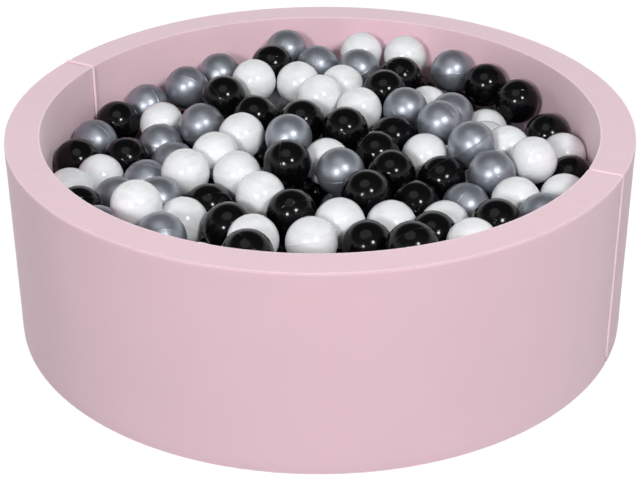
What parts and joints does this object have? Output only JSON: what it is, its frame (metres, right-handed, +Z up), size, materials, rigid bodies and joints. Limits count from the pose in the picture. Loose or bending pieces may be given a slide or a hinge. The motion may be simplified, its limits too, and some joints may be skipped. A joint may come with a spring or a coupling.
{
  "type": "ball pit",
  "caption": "Low round ball pit with a padded foam wall in two halves that open at a sewn hinge seam, a padded mat, and a heap of play balls.",
  "frame": {"origin": "middle of the pit on the floor", "axes": "+Z up, front of the pit at -Y, +X to the right as the front is seen"},
  "size_m": [0.8994, 0.899, 0.3059],
  "materials": {
    "pink_cover": "smooth matte knit",
    "non_slip_base": "matte, dotted non-slip cloth",
    "foam": "open-cell foam",
    "hook_and_loop_tape": "woven tape",
    "zip_tape": "woven tape with a nylon coil",
    "zip_metal": "plated die-cast",
    "silver_ball": "metallic pearl",
    "black_ball": "gloss",
    "white_ball": "gloss",
    "ball_bed": "gloss"
  },
  "bodies": {
    "back_wall_and_mat": {"back_base_cover": "pink_cover", "back_closure_end_cover": "pink_cover", "back_hinge_end_cover": "pink_cover", "back_inner_cover": "pink_cover", "back_outer_cover": "pink_cover", "back_top_cover": "pink_cover", "back_wall_foam": "foam", "back_zip": "zip_tape", "ball_bed": "ball_bed", "closure_loop_tape": "hook_and_loop_tape", "closure_welt": "pink_cover", "hinge_welt": "pink_cover", "mat_base_cover": "non_slip_base", "mat_foam": "foam", "mat_side_cover": "pink_cover", "mat_top_cover": "pink_cover", "mat_zip": "zip_tape"},
    "front_wall": {"front_base_cover": "pink_cover", "front_closure_end_cover": "pink_cover", "front_hinge_end_cover": "pink_cover", "front_inner_cover": "pink_cover", "front_outer_cover": "pink_cover", "front_top_cover": "pink_cover", "front_wall_foam": "foam", "front_zip": "zip_tape", "closure_hook_tape": "hook_and_loop_tape"},
    "back_zip_slider": {"back_zip_slider": "zip_metal"},
    "front_zip_slider": {"front_zip_slider": "zip_metal"},
    "mat_zip_slider": {"mat_zip_slider": "zip_metal"},
    "black_ball_01": {"black_ball_01": "black_ball"},
    "black_ball_02": {"black_ball_02": "black_ball"},
    "black_ball_03": {"black_ball_03": "black_ball"},
    "black_ball_04": {"black_ball_04": "black_ball"},
    "black_ball_05": {"black_ball_05": "black_ball"},
    "black_ball_06": {"black_ball_06": "black_ball"},
    "black_ball_07": {"black_ball_07": "black_ball"},
    "black_ball_08": {"black_ball_08": "black_ball"},
    "black_ball_09": {"black_ball_09": "black_ball"},
    "black_ball_10": {"black_ball_10": "black_ball"},
    "black_ball_11": {"black_ball_11": "black_ball"},
    "silver_ball_01": {"silver_ball_01": "silver_ball"},
    "silver_ball_02": {"silver_ball_02": "silver_ball"},
    "silver_ball_03": {"silver_ball_03": "silver_ball"},
    "silver_ball_04": {"silver_ball_04": "silver_ball"},
    "silver_ball_05": {"silver_ball_05": "silver_ball"},
    "silver_ball_06": {"silver_ball_06": "silver_ball"},
    "silver_ball_07": {"silver_ball_07": "silver_ball"},
    "silver_ball_08": {"silver_ball_08": "silver_ball"},
    "white_ball_01": {"white_ball_01": "white_ball"},
    "white_ball_02": {"white_ball_02": "white_ball"},
    "white_ball_03": {"white_ball_03": "white_ball"},
    "white_ball_04": {"white_ball_04": "white_ball"},
    "white_ball_05": {"white_ball_05": "white_ball"},
    "white_ball_06": {"white_ball_06": "white_ball"},
    "white_ball_07": {"white_ball_07": "white_ball"},
    "white_ball_08": {"white_ball_08": "white_ball"},
    "white_ball_09": {"white_ball_09": "white_ball"},
    "white_ball_10": {"white_ball_10": "white_ball"},
    "white_ball_11": {"white_ball_11": "white_ball"},
    "white_ball_12": {"white_ball_12": "white_ball"}
  },
  "joints": [
    {"name": "front_wall_hinge", "type": "hinge", "parent": "back_wall_and_mat", "child": "front_wall", "pos_m": [-0.3962, 0.2133, 0], "axis": [0, 0, -1], "range_deg": [0, 175]},
    {"name": "back_zip_pull", "type": "hinge", "parent": "back_wall_and_mat", "child": "back_zip_slider", "pos_m": [0, 0, 0.045], "axis": [0, 0, 1], "range_deg": [0, 145.6]},
    {"name": "front_zip_pull", "type": "hinge", "parent": "front_wall", "child": "front_zip_slider", "pos_m": [0, 0, 0.045], "axis": [0, 0, 1], "range_deg": [0, 153]},
    {"name": "mat_zip_pull", "type": "hinge", "parent": "back_wall_and_mat", "child": "mat_zip_slider", "pos_m": [0, 0, 0.015], "axis": [0, 0, 1], "range_deg": [0, 138]},
    {"name": "black_ball_01_lift", "type": "slide", "parent": "back_wall_and_mat", "child": "black_ball_01", "axis": [0, 0, 1], "range_m": [0, 0.1]},
    {"name": "black_ball_02_lift", "type": "slide", "parent": "back_wall_and_mat", "child": "black_ball_02", "axis": [0, 0, 1], "range_m": [0, 0.1]},
    {"name": "black_ball_03_lift", "type": "slide", "parent": "back_wall_and_mat", "child": "black_ball_03", "axis": [0, 0, 1], "range_m": [0, 0.1]},
    {"name": "black_ball_04_lift", "type": "slide", "parent": "back_wall_and_mat", "child": "black_ball_04", "axis": [0, 0, 1], "range_m": [0, 0.1]},
    {"name": "black_ball_05_lift", "type": "slide", "parent": "back_wall_and_mat", "child": "black_ball_05", "axis": [0, 0, 1], "range_m": [0, 0.1]},
    {"name": "black_ball_06_lift", "type": "slide", "parent": "back_wall_and_mat", "child": "black_ball_06", "axis": [0, 0, 1], "range_m": [0, 0.1]},
    {"name": "black_ball_07_lift", "type": "slide", "parent": "back_wall_and_mat", "child": "black_ball_07", "axis": [0, 0, 1], "range_m": [0, 0.1]},
    {"name": "black_ball_08_lift", "type": "slide", "parent": "back_wall_and_mat", "child": "black_ball_08", "axis": [0, 0, 1], "range_m": [0, 0.1]},
    {"name": "black_ball_09_lift", "type": "slide", "parent": "back_wall_and_mat", "child": "black_ball_09", "axis": [0, 0, 1], "range_m": [0, 0.1]},
    {"name": "black_ball_10_lift", "type": "slide", "parent": "back_wall_and_mat", "child": "black_ball_10", "axis": [0, 0, 1], "range_m": [0, 0.1]},
    {"name": "black_ball_11_lift", "type": "slide", "parent": "back_wall_and_mat", "child": "black_ball_11", "axis": [0, 0, 1], "range_m": [0, 0.1]},
    {"name": "silver_ball_01_lift", "type": "slide", "parent": "back_wall_and_mat", "child": "silver_ball_01", "axis": [0, 0, 1], "range_m": [0, 0.1]},
    {"name": "silver_ball_02_lift", "type": "slide", "parent": "back_wall_and_mat", "child": "silver_ball_02", "axis": [0, 0, 1], "range_m": [0, 0.1]},
    {"name": "silver_ball_03_lift", "type": "slide", "parent": "back_wall_and_mat", "child": "silver_ball_03", "axis": [0, 0, 1], "range_m": [0, 0.1]},
    {"name": "silver_ball_04_lift", "type": "slide", "parent": "back_wall_and_mat", "child": "silver_ball_04", "axis": [0, 0, 1], "range_m": [0, 0.1]},
    {"name": "silver_ball_05_lift", "type": "slide", "parent": "back_wall_and_mat", "child": "silver_ball_05", "axis": [0, 0, 1], "range_m": [0, 0.1]},
    {"name": "silver_ball_06_lift", "type": "slide", "parent": "back_wall_and_mat", "child": "silver_ball_06", "axis": [0, 0, 1], "range_m": [0, 0.1]},
    {"name": "silver_ball_07_lift", "type": "slide", "parent": "back_wall_and_mat", "child": "silver_ball_07", "axis": [0, 0, 1], "range_m": [0, 0.1]},
    {"name": "silver_ball_08_lift", "type": "slide", "parent": "back_wall_and_mat", "child": "silver_ball_08", "axis": [0, 0, 1], "range_m": [0, 0.1]},
    {"name": "white_ball_01_lift", "type": "slide", "parent": "back_wall_and_mat", "child": "white_ball_01", "axis": [0, 0, 1], "range_m": [0, 0.1]},
    {"name": "white_ball_02_lift", "type": "slide", "parent": "back_wall_and_mat", "child": "white_ball_02", "axis": [0, 0, 1], "range_m": [0, 0.1]},
    {"name": "white_ball_03_lift", "type": "slide", "parent": "back_wall_and_mat", "child": "white_ball_03", "axis": [0, 0, 1], "range_m": [0, 0.1]},
    {"name": "white_ball_04_lift", "type": "slide", "parent": "back_wall_and_mat", "child": "white_ball_04", "axis": [0, 0, 1], "range_m": [0, 0.1]},
    {"name": "white_ball_05_lift", "type": "slide", "parent": "back_wall_and_mat", "child": "white_ball_05", "axis": [0, 0, 1], "range_m": [0, 0.1]},
    {"name": "white_ball_06_lift", "type": "slide", "parent": "back_wall_and_mat", "child": "white_ball_06", "axis": [0, 0, 1], "range_m": [0, 0.1]},
    {"name": "white_ball_07_lift", "type": "slide", "parent": "back_wall_and_mat", "child": "white_ball_07", "axis": [0, 0, 1], "range_m": [0, 0.1]},
    {"name": "white_ball_08_lift", "type": "slide", "parent": "back_wall_and_mat", "child": "white_ball_08", "axis": [0, 0, 1], "range_m": [0, 0.1]},
    {"name": "white_ball_09_lift", "type": "slide", "parent": "back_wall_and_mat", "child": "white_ball_09", "axis": [0, 0, 1], "range_m": [0, 0.1]},
    {"name": "white_ball_10_lift", "type": "slide", "parent": "back_wall_and_mat", "child": "white_ball_10", "axis": [0, 0, 1], "range_m": [0, 0.1]},
    {"name": "white_ball_11_lift", "type": "slide", "parent": "back_wall_and_mat", "child": "white_ball_11", "axis": [0, 0, 1], "range_m": [0, 0.1]},
    {"name": "white_ball_12_lift", "type": "slide", "parent": "back_wall_and_mat", "child": "white_ball_12", "axis": [0, 0, 1], "range_m": [0, 0.1]}
  ]
}
